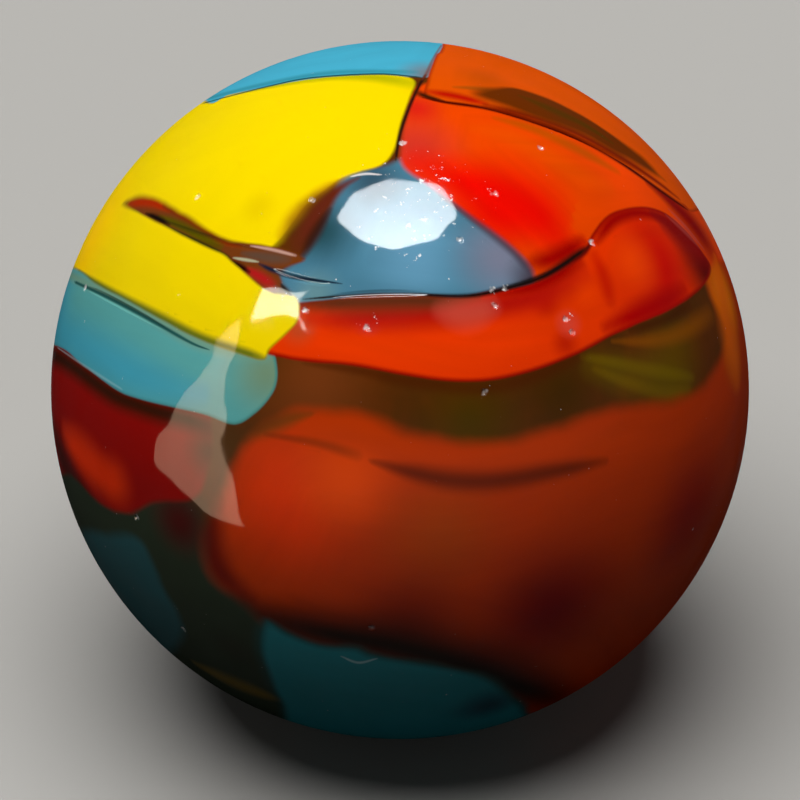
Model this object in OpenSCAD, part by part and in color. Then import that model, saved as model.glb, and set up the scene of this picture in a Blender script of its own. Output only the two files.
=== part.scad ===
// Glass marble: one solid ball, with a swirl of opaque ribbons in amber glass.
// Millimetres, +Z up, origin at the centre of the ball.
//
// The swirl is drawn on two flat maps of the skin, each as wide as the ball and seen
// square-on: the near map from the show side, the far map from behind. On both, x runs
// to the viewer's right and y runs up. A ribbon that leaves one map at the rim enters
// the other at the same bearing.

/* [Marble] */
// Diameter of the ball
marble_d = 16; // [12:0.5:25]
// Height of the show side above the horizon, in degrees
show_tilt = 35; // [0:5:85]

/* [Folds] */
// Width of a fold crease at the skin
crease_w = 0.16; // [0.1:0.02:0.3]
// Depth of a fold crease
crease_h = 0.04; // [0.02:0.01:0.05]

/* [Pits] */
// Width of a wear pit at the skin
pit_w = 0.16; // [0.1:0.02:0.3]
// Depth of a wear pit
pit_h = 0.03; // [0.02:0.01:0.05]

/* [Glass colours] */
// Clear base glass
amber_glass = "#5a2c0a";
// Opaque yellow ribbon
yellow_glass = "#f6cc00";
// Opaque light blue ribbon
blue_glass = "#4f9fb8";
// Orange ribbon
orange_glass = "#d8500a";
// Bright red ribbon
red_glass = "#d01c08";
// Dark red, half clear
garnet_glass = "#7a1406";
// Grey-green, half clear
smoke_glass = "#2c3a30";
// Olive brown, half clear
olive_glass = "#6a4204";

/* [Hidden] */

// Diameter at which the maps and the folds are drawn
drawn_d = 16;
drawn_r = drawn_d / 2;
map_scale = marble_d / drawn_d;
ball_r = marble_d / 2;
// Facets round the ball and round a small cutter
ball_fn = 64;
cutter_fn = 16;
// Points of a curve for each point of its outline
steps = 2;
// How far out an outline runs round the rim, as a share of the radius, and the most that it
// turns from one point to the next
past = 1.2;
rim_step = 40;

// ---- The maps, in millimetres on a ball of drawn_d ----

// A point at a bearing on the near map, in degrees from +x towards +y, and a share of the
// way from the centre to the rim
function rim(bearing, reach = 1) = drawn_r * reach * [cos(bearing), sin(bearing)];

// The stretch of an outline that lies off the near map: out over the rim at one bearing,
// round outside it, and in again at another
function round_rim(out, back) =
    let (parts = ceil(abs(back - out) / rim_step))
    [rim(out), for (i = [0 : parts]) rim(out + (back - out) * i / parts, past), rim(back)];

// The same bearings on the far map
function far_rim(out, back) = [for (p = round_rim(out, back)) [-p.x, p.y]];

// Bearings at which the ribbons' edges cross the rim
seam_bearing = 83;
top_blue_bearing = 124;
yellow_bearing = 159.5;
band_bearing = 172.5;
garnet_bearing = 194;
dim_bearing = 204;
dim_end_bearing = 229;
bottom_bearing = 250;
bottom_end_bearing = 292;
glow_bearing = 382;
fold_bearing = 391;
// Angle by which a ribbon runs on under the one that lies over it
lap_angle = 4;

orange_near = [
    [-3.3, -1.1], [-2.7, -0.65], [-2, -0.45], [-1, -0.6], [0, -0.95], [1.2, -1.25], [2.4, -1.3],
    [3.4, -1.05], [4.8, -0.5], [6, -0.35], [6.8, 0], [7.3, 0.7], [7.4, 1.4], [7.05, 2.2], [6.8, 3.2],
    each round_rim(glow_bearing + lap_angle, bottom_end_bearing - lap_angle),
    [1.8, -7], [-0.5, -6.7], [-2.4, -6.3], [-4, -5.6], [-4.9, -4.5], [-4.8, -3.5], [-4.1, -2.6],
    [-3.75, -1.8]];
orange_far = [
    [1.6, 6.6], [0.7, 5.9], [-0.4, 4.9], [-1.6, 3.9], [-2.8, 2.9], [-3.5, 1.7], [-3.2, 0.3],
    [-2, -0.9], [-1.8, -3], [-1.8, -5.4],
    each far_rim(bottom_end_bearing - lap_angle, seam_bearing + 360 + 2 * lap_angle)];

smoke_near = [
    [-5.3, -2.2], [-4.5, -2.9], [-4.45, -3.7], [-4.15, -4.45], [-3.4, -5], [-2.6, -5.9], [-2.4, -6.6],
    each round_rim(bottom_bearing + lap_angle, garnet_bearing - lap_angle), [-7, -1.8], [-6.4, -2]];
smoke_far = [
    [5.4, -1.6], [3, -2.5], [1.2, -3.8], [1.2, -6],
    each far_rim(bottom_bearing + lap_angle, garnet_bearing - lap_angle)];

dim_blue_near = [
    [-6.6, -3.3], [-6, -3.4], [-5.65, -3.9], [-5.4, -4.5], [-5.05, -5.1], [-4.95, -5.6],
    each round_rim(dim_end_bearing, dim_bearing)];
dim_blue_far = [
    [5.7, -3.3], [4.3, -3.9], [4, -4.9], each far_rim(dim_end_bearing, dim_bearing)];

garnet_near = [
    [-6.6, 0.9], [-5.4, 0.3], [-4.5, 0], [-4.25, -1.1], [-4.5, -2], [-4.85, -2.65], [-5.6, -2.7],
    [-6.2, -2.8], [-6.9, -2.6], [-7.4, -2.15],
    each round_rim(garnet_bearing, band_bearing - lap_angle)];
garnet_far = [
    [6.2, 0.9], [4.4, 0.1], [2.6, -0.8], [1.5, -2], [2.6, -2.2], [4.2, -1.9], [6, -1.8],
    each far_rim(garnet_bearing, band_bearing - lap_angle)];

blue_bottom_near = [
    [-3.1, -5.2], [-2.5, -5.5], [-1.8, -5.75], [-1, -5.82], [-0.6, -5.97], [0.4, -6.15], [1.4, -6.33],
    [2.1, -6.55], [2.6, -6.95], each round_rim(bottom_end_bearing, bottom_bearing), [-3, -6.7],
    [-3.25, -5.9]];
blue_band_near = [
    [-6.4, 2.7], [-5, 2.1], [-3.7, 1.6], [-3, 1.2], [-2.84, 0.8], [-2.78, 0.3], [-2.9, -0.1],
    [-3.25, -0.5], [-3.75, -0.78], [-4.4, -0.57], [-5.1, -0.4], [-6, -0.18], [-6.5, 0.03],
    [-7.2, 0.55], each round_rim(band_bearing, yellow_bearing - lap_angle)];
blue_far = [
    [6, 2.8], [4, 1.9], [2, 1.1], [0, 0.2], [-1.8, -0.6], [-3.1, -1.9], [-3.5, -3.6], [-3.2, -5.4],
    each far_rim(bottom_end_bearing, bottom_bearing), [1.5, -6.1], [0.5, -4.6], [0.3, -3.1],
    [1.3, -1.7], [3.1, -0.7], [5, 0], [6.6, 0.7],
    each far_rim(band_bearing, yellow_bearing - lap_angle)];

blue_top_near = [
    [-3.6, 6.2], [-2, 6.6], [-0.4, 6.8], [0.2, 7.13], [0.6, 7.12], [1.1, 7.3],
    each round_rim(seam_bearing - lap_angle, top_blue_bearing + lap_angle)];
blue_top_far = [
    [3.8, 5.8], [2.2, 4.6], [0.4, 3.4], [-1.2, 2.5], [-2.6, 2], [-1.6, 3.1], [-0.2, 4.3], [0.9, 5.3],
    [1.3, 6.2], [0.9, 7], [0.1, 7.5],
    each far_rim(seam_bearing, top_blue_bearing + lap_angle)];

blue_middle_near = [
    [-1.2, 4.9], [-0.3, 5.1], [0.5, 5.3], [1.8, 4.8], [2.9, 4], [3.6, 3.2], [3.8, 2.4], [2.6, 1.7],
    [1, 1.5], [-1, 1.5], [-2, 1.6], [-2.5, 2.2], [-2.7, 2.6], [-2.2, 3], [-1.9, 3.6], [-1.55, 4.2]];

red_near = [
    [0.2, 6.5], [0.12, 6.1], [0.02, 5.6], [0.1, 5.05], [0.8, 4.55], [1.5, 3.98], [2.1, 3.55],
    [2.6, 3.15], [2.95, 2.75], [3.3, 2], [4.3, 1.9], [5.8, 2.2], [6.8, 2.55], [7.2, 2.9],
    each round_rim(glow_bearing, fold_bearing + lap_angle),
    [5.8, 5.6], [4, 6.5], [2.4, 6.8], [1, 7], [0.4, 6.9]];
red_far = [
    [-7, 3.1], [-6.3, 3.2], [-6.4, 3.7], each far_rim(fold_bearing, glow_bearing)];

orange_top_near = [
    [0.82, 7.65], [0.72, 7.4], [0.62, 7.05], [0.6, 6.65], [1.4, 6.5], [2.2, 6.37], [3, 6.13],
    [3.8, 5.83], [4.6, 5.45], [5.4, 4.92], [6, 4.52], [6.5, 4.2],
    each round_rim(fold_bearing, seam_bearing + 360)];
olive_near = [
    [1.7, 6.75], [2.4, 6.9], [3.1, 6.75], [4, 6.35], [4.8, 5.85], [5.6, 5.25], [5.85, 4.9],
    [5.2, 5.25], [4.3, 5.75], [3.4, 6.1], [2.4, 6.45]];

snake_near = [
    [-3.3, 0.95], [-3.1, 1.5], [-2.7, 1.9], [-2.1, 2], [-1.5, 2.07], [-0.7, 2.18], [0.4, 2.17],
    [1.4, 2.12], [2.2, 2.27], [3, 2.44], [3.5, 2.75], [4.15, 3.1], [4.35, 3.5], [4.75, 3.98],
    [5.4, 4.17], [6, 4.05], [6.5, 3.65], [6.9, 3.15], [7.1, 2.75], [6.85, 2.3], [6.2, 1.85],
    [5.4, 1.5], [4.8, 1.22], [4, 0.8], [3, 0.42], [2, 0.2], [1, 0.2], [0, 0.35], [-1, 0.53],
    [-2, 0.63], [-2.6, 0.72]];

yellow_near = [
    [-3.9, 6.75], [-3, 6.93], [-2, 7.1], [-1, 7.18], [-0.2, 7.18], [0.33, 7.05], [0.22, 6.6],
    [0.03, 6.05], [-0.12, 5.45], [-0.4, 5.05], [-1, 4.9], [-1.5, 4.6], [-2.1, 4.25], [-2.5, 3.75],
    [-2.8, 3.4], [-3.2, 2.8], [-2.9, 2.25], [-2.35, 2.1], [-2.3, 1.6], [-2.6, 1.25], [-2.95, 0.92],
    [-3.1, 0.68], [-3.7, 0.83], [-4.5, 1.12], [-5.3, 1.52], [-6.1, 1.97], [-6.9, 2.4],
    each round_rim(yellow_bearing, top_blue_bearing)];
yellow_far = [
    [3.3, 5.8], [1.8, 4.5], [0.3, 3.3], [-1.2, 2.3], [-2.6, 1.5], [-1.8, 0.9], [-0.2, 1.2],
    [1.6, 1.7], [3.6, 2.1], [5.8, 2.6], each far_rim(yellow_bearing, top_blue_bearing)];

fold_near = [
    [-6.3, 4.35], [-5.9, 4.5], [-5.5, 4.47], [-5, 4.22], [-4.4, 3.85], [-3.8, 3.5], [-3.2, 3.3],
    [-2.7, 3.1], [-2.7, 2.7], [-2.95, 2.4], [-3.35, 2.5], [-3.7, 2.85], [-4.1, 3.1], [-4.7, 3.4],
    [-5.4, 3.8], [-5.95, 4.03]];

// Fold creases on the near map: start, middle and end of each, on one circle of the skin
CREASES = [
    [[-6, 4.15], [-4.5, 3.5], [-2.4, 2.98]],
    [[-3.1, 2.85], [-2.4, 2.55], [-1.3, 2.38]],
    [[-2.2, 2.02], [-0.5, 2.19], [1.2, 2.13]],
    [[1.2, 2.13], [2.8, 2.39], [4.3, 3.25]],
    [[0.62, 6.66], [3, 6.13], rim(34.5, 0.955)],
    [rim(161.7, 0.975), [-6, 1.75], [-4.6, 0.97]]];

// Wear pits on the near and the far map
NEAR_PITS = [
    [0.05, 5.6], [-2, 4.3], [1.35, 3.4], [-2.15, 1.8], [-0.75, 1.4], [2.1, 2.25], [2.4, 2.3], [2.15, 1.9],
    [3.75, 1.6], [3.9, 1.3], [4.35, 3.35], [3.2, 5.5], [2.15, 4.45], [-4.6, 4.4], [1.9, -0.05],
    rim(162, 0.945), [-6, -2.9], [-4.95, -5.45], [-0.65, -5.4]];
FAR_PITS = [
    [-4.5, 3.5], [-2.2, -1.4], [0.6, 5.2], [3.4, 3.8], [4.8, -2.6], [-5.4, -3.1], [1.2, -6.2]];

// Every ribbon: colour, near outline, far outline. Where two overlap, the later one shows.
RIBBONS = [
    [orange_glass, orange_near, orange_far],
    [smoke_glass, smoke_near, smoke_far],
    [blue_glass, dim_blue_near, dim_blue_far],
    [garnet_glass, garnet_near, garnet_far],
    [blue_glass, blue_bottom_near, blue_far],
    [blue_glass, blue_band_near, []],
    [blue_glass, blue_top_near, blue_top_far],
    [blue_glass, blue_middle_near, []],
    [red_glass, red_near, red_far],
    [orange_glass, orange_top_near, []],
    [olive_glass, olive_near, []],
    [red_glass, snake_near, []],
    [yellow_glass, yellow_near, yellow_far],
    [garnet_glass, fold_near, []]];
NEAR = 1;
FAR = 2;

// One point of a closed curve that runs through p1 and p2, at t from 0 to 1 between them
function curve_point(p0, p1, p2, p3, t) =
    0.5 * (2 * p1 + (p2 - p0) * t + (2 * p0 - 5 * p1 + 4 * p2 - p3) * t * t
        + (3 * p1 - p0 - 3 * p2 + p3) * t * t * t);

function smooth(points) =
    let (n = len(points))
    [for (i = [0 : n - 1]) for (k = [0 : steps - 1])
        curve_point(points[(i + n - 1) % n], points[i], points[(i + 1) % n], points[(i + 2) % n],
            k / steps)];

// The ball in a map's own axes, with its poles at the top and the bottom of the rim
module ball() {
    rotate([-90, 0, 0]) sphere(r = ball_r, $fn = ball_fn);
}

// Turns a drawing from the XY plane, seen from +Z, to the side that a map is seen from
module facing(side) {
    rotate([90 - show_tilt, 0, 0]) rotate([0, side == NEAR ? 0 : 180, 0]) children();
}

module area(points) {
    if (len(points) > 0) polygon(smooth(points));
}

// What shows of a ribbon on one map: its outline, less those of the ribbons over it
module showing(index, side) {
    difference() {
        if (index < 0) square(past * drawn_d, center = true);
        else area(RIBBONS[index][side]);
        for (over = [index + 1 : 1 : len(RIBBONS) - 1]) area(RIBBONS[over][side]);
    }
}

// The glass under a ribbon on one map, from the skin to the ball's middle plane.
// Index -1 is the base glass, where no ribbon shows.
module ribbon(index, side) {
    if (index < 0 || len(RIBBONS[index][side]) > 0)
        facing(side) intersection() {
            ball();
            scale(map_scale) linear_extrude(drawn_d) showing(index, side);
        }
}

// One half of the ball, ribbon by ribbon
module half(side) {
    color(amber_glass) ribbon(-1, side);
    for (index = [0 : len(RIBBONS) - 1])
        color(RIBBONS[index][0]) ribbon(index, side);
}

// Radius of a round cutter that leaves a mark of this width and depth
function cutter_r(width, depth) = (width * width / 4 + depth * depth) / (2 * depth);

// The point of the skin that a map point stands for
function on_skin(p) = [p.x, p.y, sqrt(drawn_r * drawn_r - p.x * p.x - p.y * p.y)];

// Centre of the circle through three points in space
function circle_centre(a, b, c) =
    let (p = b - a, q = c - a, n = cross(p, q))
    a + (cross(n, p) * (q * q) + cross(q, n) * (p * p)) / (2 * (n * n));

// A groove through three points of the near map: deepest at the middle, it runs out at both ends
module crease(start, middle, end) {
    cutter = cutter_r(crease_w, crease_h);
    bottom = (ball_r + cutter - crease_h) / drawn_r;
    clear = (ball_r + cutter + crease_h) / drawn_r;
    a = on_skin(start) * clear;
    b = on_skin(middle) * bottom;
    c = on_skin(end) * clear;
    normal = cross(b - a, c - b);
    axis = normal / norm(normal);
    centre = circle_centre(a, b, c);
    across = (a - centre) / norm(a - centre);
    along = cross(axis, across);
    sweep = atan2((c - centre) * along, (c - centre) * across);
    multmatrix([for (row = [0 : 2]) [across[row], along[row], axis[row], centre[row]]])
        rotate_extrude(angle = sweep < 0 ? sweep + 360 : sweep, $fn = ball_fn)
            translate([norm(a - centre), 0]) circle(r = cutter, $fn = cutter_fn);
}

module pit(place) {
    cutter = cutter_r(pit_w, pit_h);
    reach = (ball_r + cutter - pit_h) / drawn_r;
    translate(on_skin(place) * reach) sphere(r = cutter, $fn = cutter_fn);
}

module marble() {
    difference() {
        union() {
            half(NEAR);
            half(FAR);
        }
        color(garnet_glass) facing(NEAR) {
            for (line = CREASES) crease(line[0], line[1], line[2]);
            for (place = NEAR_PITS) pit(place);
        }
        color(garnet_glass) facing(FAR) for (place = FAR_PITS) pit(place);
    }
}

marble();
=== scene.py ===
"""Looks of a glass marble: opaque ribbons folded into a ball of dark amber glass.

The ribbons are drawn on two flat maps of the skin, in map millimetres on a ball of 16 mm. The
near map is seen square-on from the show side and the far map from behind. On both, x runs to
the viewer's right and y runs up, and a ribbon that leaves one map at the rim enters the other
at the same bearing.
"""

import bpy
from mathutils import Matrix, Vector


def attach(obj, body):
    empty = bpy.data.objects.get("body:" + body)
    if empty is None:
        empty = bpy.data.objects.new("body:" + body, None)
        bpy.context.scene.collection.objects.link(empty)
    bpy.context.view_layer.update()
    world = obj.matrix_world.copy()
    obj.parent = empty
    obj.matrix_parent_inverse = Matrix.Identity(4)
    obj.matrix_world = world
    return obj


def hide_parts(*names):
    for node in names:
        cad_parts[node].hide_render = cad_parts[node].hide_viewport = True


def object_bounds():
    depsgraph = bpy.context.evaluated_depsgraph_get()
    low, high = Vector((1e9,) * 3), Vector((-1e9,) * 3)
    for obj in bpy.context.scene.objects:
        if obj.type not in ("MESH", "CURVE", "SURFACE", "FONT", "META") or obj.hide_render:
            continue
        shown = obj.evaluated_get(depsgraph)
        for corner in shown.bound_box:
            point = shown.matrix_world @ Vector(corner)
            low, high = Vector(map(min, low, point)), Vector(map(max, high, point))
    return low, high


bl_info = {
    "name": "Glass Marble",
    "version": (1, 0, 0),
    "blender": (4, 5, 0),
    "location": "View3D > Sidebar > Marble",
    "description": "Builds a swirled glass marble and its stage",
    "category": "Object",
}

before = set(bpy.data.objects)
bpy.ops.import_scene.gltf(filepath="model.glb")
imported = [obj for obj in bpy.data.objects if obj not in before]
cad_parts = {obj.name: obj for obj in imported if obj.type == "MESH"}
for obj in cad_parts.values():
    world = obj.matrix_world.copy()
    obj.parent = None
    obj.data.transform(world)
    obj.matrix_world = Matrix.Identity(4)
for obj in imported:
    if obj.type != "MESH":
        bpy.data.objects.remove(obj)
cad_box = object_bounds()

import math
from collections import namedtuple

import bmesh
import bpy
import numpy as np
from bpy.props import FloatProperty, FloatVectorProperty, IntProperty, PointerProperty
from mathutils import Matrix, Vector
from mathutils.kdtree import KDTree

# ---- Places on the skin -------------------------------------------------------------------

# Radius of the maps, in map millimetres
RIM = 8.0
# Height of the show side above the horizon
SHOW_TILT = math.radians(35)
RIGHT = np.array((1.0, 0.0, 0.0))
UP = np.array((0.0, math.sin(SHOW_TILT), math.cos(SHOW_TILT)))
TOWARD = np.array((0.0, -math.cos(SHOW_TILT), math.sin(SHOW_TILT)))

# How far out an outline runs round the rim, as a share of the radius, and the most that it
# turns from one point to the next
PAST = 1.2
RIM_STEP = 40
# Points of a curve for each point of its outline, and the most that lies between two of them
# on the skin, in map millimetres
CURVE_STEPS = 12
POINT_GAP = 0.08


def rim(bearing, reach=1.0):
    """The near map's point at a bearing in degrees, as a share of the way to the rim."""
    turn = math.radians(bearing)
    return RIM * reach * math.cos(turn), RIM * reach * math.sin(turn)


def round_rim(out, back):
    """The stretch of an outline that lies off the near map, from one bearing to another."""
    parts = math.ceil(abs(back - out) / RIM_STEP)
    outside = [rim(out + (back - out) * i / parts, PAST) for i in range(parts + 1)]
    return [rim(out), *outside, rim(back)]


def far_rim(out, back):
    """The same bearings on the far map."""
    return [(-x, y) for x, y in round_rim(out, back)]


def on_skin(x, y, near=True):
    """The skin's point, in map millimetres, that a map's point stands for."""
    height = math.sqrt(max(0.0, RIM * RIM - x * x - y * y))
    if near:
        return x * RIGHT + y * UP + height * TOWARD
    return -x * RIGHT + y * UP - height * TOWARD


def curve_point(before, start, end, after, t):
    """A point at t from 0 to 1 between start and end, on a curve through all four."""
    return 0.5 * (
        2 * start
        + (end - before) * t
        + (2 * before - 5 * start + 4 * end - after) * t ** 2
        + (3 * start - before - 3 * end + after) * t ** 3
    )


def closed_curve(points, steps=CURVE_STEPS):
    """A closed curve through points, each of them with any number of values."""
    knots = np.array(points, float)
    ring = [np.roll(knots, shift, axis=0) for shift in (1, 0, -1, -2)]
    return np.concatenate([
        np.stack([curve_point(*(k[i] for k in ring), step / steps) for step in range(steps)])
        for i in range(len(knots))
    ])


def open_curve(points, steps=CURVE_STEPS):
    """An open curve through points, each of them with any number of values."""
    knots = np.array(points, float)
    knots = np.concatenate([2 * knots[:1] - knots[1:2], knots, 2 * knots[-1:] - knots[-2:-1]])
    made = [
        curve_point(*knots[i:i + 4], step / steps)
        for i in range(len(knots) - 3)
        for step in range(steps)
    ]
    return np.array([*made, knots[-2]])


# ---- The glass ----------------------------------------------------------------------------

# A round glow or shade of another colour: its place on a map, its reach in millimetres, and
# the share of it that shows at its middle
Glow = namedtuple("Glow", "x y reach colour amount near", defaults=(1.0, True))
# A streak or wisp of another colour along (x, y, half width) points. Its edges are soft at a
# hardness of 0 and crisp at 1.
Streak = namedtuple("Streak", "colour points hardness amount", defaults=(0.0, 1.0))
# A ribbon: the blur of its edge in millimetres, which a point of its outline can set anew, its
# outlines on the two maps, the colour and width of the strip along its edge, and the strength
# of its fine strands
Ribbon = namedtuple("Ribbon", "name colour blur near far edge glows streaks grain",
                    defaults=((), None, (), (), 0.1))

# Bearings at which the ribbons' edges cross the rim
SEAM = 83
TOP_BLUE = 124
YELLOW = 159.5
BAND = 172.5
GARNET = 194
DIM = 204
DIM_END = 229
BOTTOM = 250
BOTTOM_END = 292
GLOW = 382
FOLD = 391
# Angle by which a ribbon runs on under the one that lies over it
LAP = 4
TURN = 360

AMBER_GLASS = Ribbon(
    "amber glass", "#5a2a06", 0, near=(),
    glows=[
        Glow(-1.9, 0.2, 1.8, "#6e3410"),
        Glow(1.6, -0.7, 1.6, "#463000"),
        Glow(3.7, 0.0, 1.6, "#402400"),
        Glow(6.2, 0.7, 1.6, "#5e4000"),
        Glow(-4.0, -1.2, 1.0, "#4a2c0c"),
    ],
    streaks=[
        Streak("#625000", [(4.2, 0.6, 0.3), (5.3, 0.3, 0.4), (6.6, 0.1, 0.35)], amount=0.6),
        Streak("#8c7400", [(4.1, 0.76, 0.08), (5, 0.6, 0.12), (5.9, 0.42, 0.13),
                           (6.7, 0.28, 0.1)], amount=0.25),
        Streak("#8c6c00", [(4.35, 0.5, 0.08), (5.2, 0.15, 0.12), (6, -0.08, 0.13),
                           (6.6, 0.02, 0.12)], amount=0.25),
        Streak("#904c00", [(4.8, 1.1, 0.05), (5.8, 1.12, 0.14), (6.5, 1.35, 0.18),
                           (7.1, 1.75, 0.2)], amount=0.6),
        Streak("#3c1400", [(5.2, 1.35, 0.08), (6, 1.6, 0.14), (6.6, 1.95, 0.14)], amount=0.7),
        Streak("#481800", [(-2.2, 0.62, 0.06), (-1, 0.45, 0.1), (0.2, 0.2, 0.14),
                           (1.8, 0.05, 0.16), (3, 0.3, 0.16), (4.2, 0.82, 0.12)], amount=0.6),
    ],
)
ORANGE_RIBBON = Ribbon(
    "orange ribbon", "#b43200", 0.24,
    near=[(-3.4, -1.15), (-2.9, -0.75), (-2.2, -0.45), (-1, -0.55), (0, -0.88), (1.2, -1.18),
          (2.4, -1.15), (3.4, -0.9), (4.8, -0.45), (6, -0.3), (6.8, 0), (7.3, 0.7), (7.4, 1.4),
          (7.05, 2.2), (6.8, 3.2), *round_rim(GLOW + LAP, BOTTOM_END - LAP), (1.8, -7),
          (-0.5, -6.7), (-2.4, -6.3), (-4, -5.6), (-4.9, -4.5), (-4.8, -3.5), (-4.1, -2.6),
          (-3.75, -1.8)],
    far=[(1.6, 6.6), (0.7, 5.9), (-0.4, 4.9), (-1.6, 3.9), (-2.8, 2.9), (-3.5, 1.7),
         (-3.2, 0.3), (-2, -0.9), (-1.8, -3), (-1.8, -5.4),
         *far_rim(BOTTOM_END - LAP, SEAM + TURN + 2 * LAP)],
    glows=[
        Glow(-5.0, 6.2, 5.5, "#d44c00", near=False),
        Glow(-2.6, -2.6, 2.4, "#dc3400"),
        Glow(-1.2, -2.1, 1.7, "#e04400"),
        Glow(0.9, -3.3, 2.0, "#a83c00", 0.8),
        # Painted shade: the orange darkens toward the bottom
        Glow(0.2, -5.2, 2.0, "#701400", 0.8),
        Glow(3.4, -5.0, 2.6, "#740000"),
        Glow(6.6, -2.8, 2.2, "#901400"),
        # Painted glow of light through the glass at the right rim
        Glow(7.4, 2.1, 1.4, "#e07800"),
        Glow(7.6, 0.8, 1.0, "#b85000"),
    ],
    streaks=[
        Streak("#6c1000", [(-4.2, -2.3, 0.2), (-4.35, -3.2, 0.35), (-4.1, -4.1, 0.35),
                           (-3.4, -4.8, 0.3)]),
        Streak("#b83400", [(-2.2, -1.0, 0.2), (-1, -1.05, 0.26), (0.2, -1.35, 0.28),
                           (1.5, -1.62, 0.22), (3, -1.45, 0.28), (4.2, -1.2, 0.24),
                           (5.4, -0.95, 0.16)]),
        Streak("#6c3808", [(-3.6, -1.05, 0.16), (-2.9, -0.78, 0.2), (-2.3, -0.6, 0.12),
                           (-1.9, -0.52, 0.04)], amount=0.85),
        Streak("#5c2400", [(-3.1, -1.0, 0.05), (-1.9, -1.2, 0.09), (-0.9, -1.5, 0.12)],
               amount=0.5),
        Streak("#4c1400", [(-0.7, -1.6, 0.06), (0.2, -1.85, 0.16), (1.2, -2.05, 0.22),
                           (2.2, -2.06, 0.22), (3.2, -1.9, 0.2), (4, -1.75, 0.16),
                           (4.7, -1.6, 0.1)], amount=0.8),
        # Painted shade: a dark band along the bottom of the orange
        Streak("#1c0800", [(-4.6, -4.7, 0.2), (-3.6, -5.0, 0.4), (-2.5, -5.34, 0.6),
                           (-1.4, -5.58, 0.65), (0, -5.85, 0.7), (1.6, -6.3, 0.75),
                           (2.8, -6.8, 0.65), (3.8, -7.2, 0.5)]),
    ],
    grain=0.14,
)
SMOKE_RIBBON = Ribbon(
    "smoke ribbon", "#2a3424", 0.3,
    near=[(-5.3, -2.2), (-4.5, -2.7), (-4.45, -3.7), (-4.15, -4.45), (-3.4, -5), (-2.6, -5.9),
          (-2.4, -6.6), *round_rim(BOTTOM + LAP, GARNET - LAP), (-7, -1.8), (-6.4, -2)],
    far=[(5.4, -1.6), (3, -2.5), (1.2, -3.8), (1.2, -6), *far_rim(BOTTOM + LAP, GARNET - LAP)],
    glows=[Glow(-5.0, -3.0, 1.2, "#480c08"), Glow(-3.8, -5.9, 0.9, "#2a2e20")],
    streaks=[
        Streak("#846820", [(-4.7, -6.25, 0.15), (-4, -6.6, 0.3), (-3.3, -6.88, 0.3),
                           (-2.7, -7.08, 0.15)], amount=0.6),
    ],
)
# Its dim tone is partly the ribbon's own and partly painted shade on the lower left
DIM_BLUE_RIBBON = Ribbon(
    "dim blue ribbon", "#285458", 0.2,
    near=[(-6.6, -3.3), (-6, -3.4), (-5.65, -3.9), (-5.4, -4.5), (-5.05, -5.1), (-4.95, -5.6),
          *round_rim(DIM_END, DIM)],
    far=[(5.7, -3.3), (4.3, -3.9), (4, -4.9), *far_rim(DIM_END, DIM)],
)
GARNET_RIBBON = Ribbon(
    "garnet ribbon", "#8c0400", 0.10,
    near=[(-6.6, 0.9), (-5.4, 0.3), (-4.5, 0), (-4.25, -1.1), (-4.4, -1.9), (-4.7, -2.45),
          (-5.6, -2.55), (-6.2, -2.8), (-6.9, -2.55), (-7.4, -2.05),
          *round_rim(GARNET, BAND - LAP)],
    far=[(6.2, 0.9), (4.4, 0.1), (2.6, -0.8), (1.5, -2), (2.6, -2.2), (4.2, -1.9), (6, -1.8),
         *far_rim(GARNET, BAND - LAP)],
    glows=[Glow(-6.5, -2.1, 0.9, "#d42c00"), Glow(-4.3, -1.4, 0.9, "#4a1c08")],
    streaks=[
        Streak("#e43000", [(-7.7, -1.0, 0.3), (-7.2, -1.55, 0.45), (-6.55, -2.2, 0.4)]),
        # Painted shade along the lower left rim
        Streak("#14120c", [(-7.95, -0.8, 0.3), (-7.75, -1.5, 0.5), (-7.35, -2.2, 0.4),
                           (-6.8, -2.8, 0.2)], amount=0.75),
        Streak("#341000", [(-8.1, 0.9, 0.2), (-7.5, 0.55, 0.2), (-7, 0.2, 0.22),
                           (-6.5, -0.14, 0.22), (-6, -0.34, 0.22), (-5.5, -0.5, 0.22),
                           (-5, -0.62, 0.22), (-4.4, -0.8, 0.22), (-3.9, -0.95, 0.2)]),
    ],
)
# The ribbon's dark teal is partly painted shade; the two glows on the far map make it paler there
BLUE_BOTTOM_RIBBON = Ribbon(
    "bottom blue ribbon", "#207880", 0.14,
    near=[(-3.1, -5.2), (-2.5, -5.5), (-1.8, -5.75), (-1, -5.82), (-0.6, -5.97), (0.4, -6.15),
          (1.4, -6.33), (2.1, -6.55), (2.6, -6.95), *round_rim(BOTTOM_END, BOTTOM),
          (-3, -6.7, 0.25), (-3.25, -5.9, 0.25)],
    far=[(6, 2.8), (4, 1.9), (2, 1.1), (0, 0.2), (-1.8, -0.6), (-3.1, -1.9), (-3.5, -3.6),
         (-3.2, -5.4), *far_rim(BOTTOM_END, BOTTOM), (1.5, -6.1), (0.5, -4.6), (0.3, -3.1),
         (1.3, -1.7), (3.1, -0.7), (5, 0), (6.6, 0.7), *far_rim(BAND, YELLOW - LAP)],
    edge=("#204440", 0.3),
    glows=[
        Glow(-3, 1.4, 4.2, "#4a9cb0", near=False),
        Glow(7.85, 1.75, 5.0, "#3c9cb4", near=False),
        # Painted shade at the very bottom
        Glow(2.0, -7.2, 1.2, "#1c4450"),
    ],
    streaks=[
        # Painted glint
        Streak("#a8c4c4", [(-1.35, -6.05, 0.02), (-0.95, -6.2, 0.035), (-0.5, -6.1, 0.02)],
               amount=0.6),
    ],
)
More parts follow.
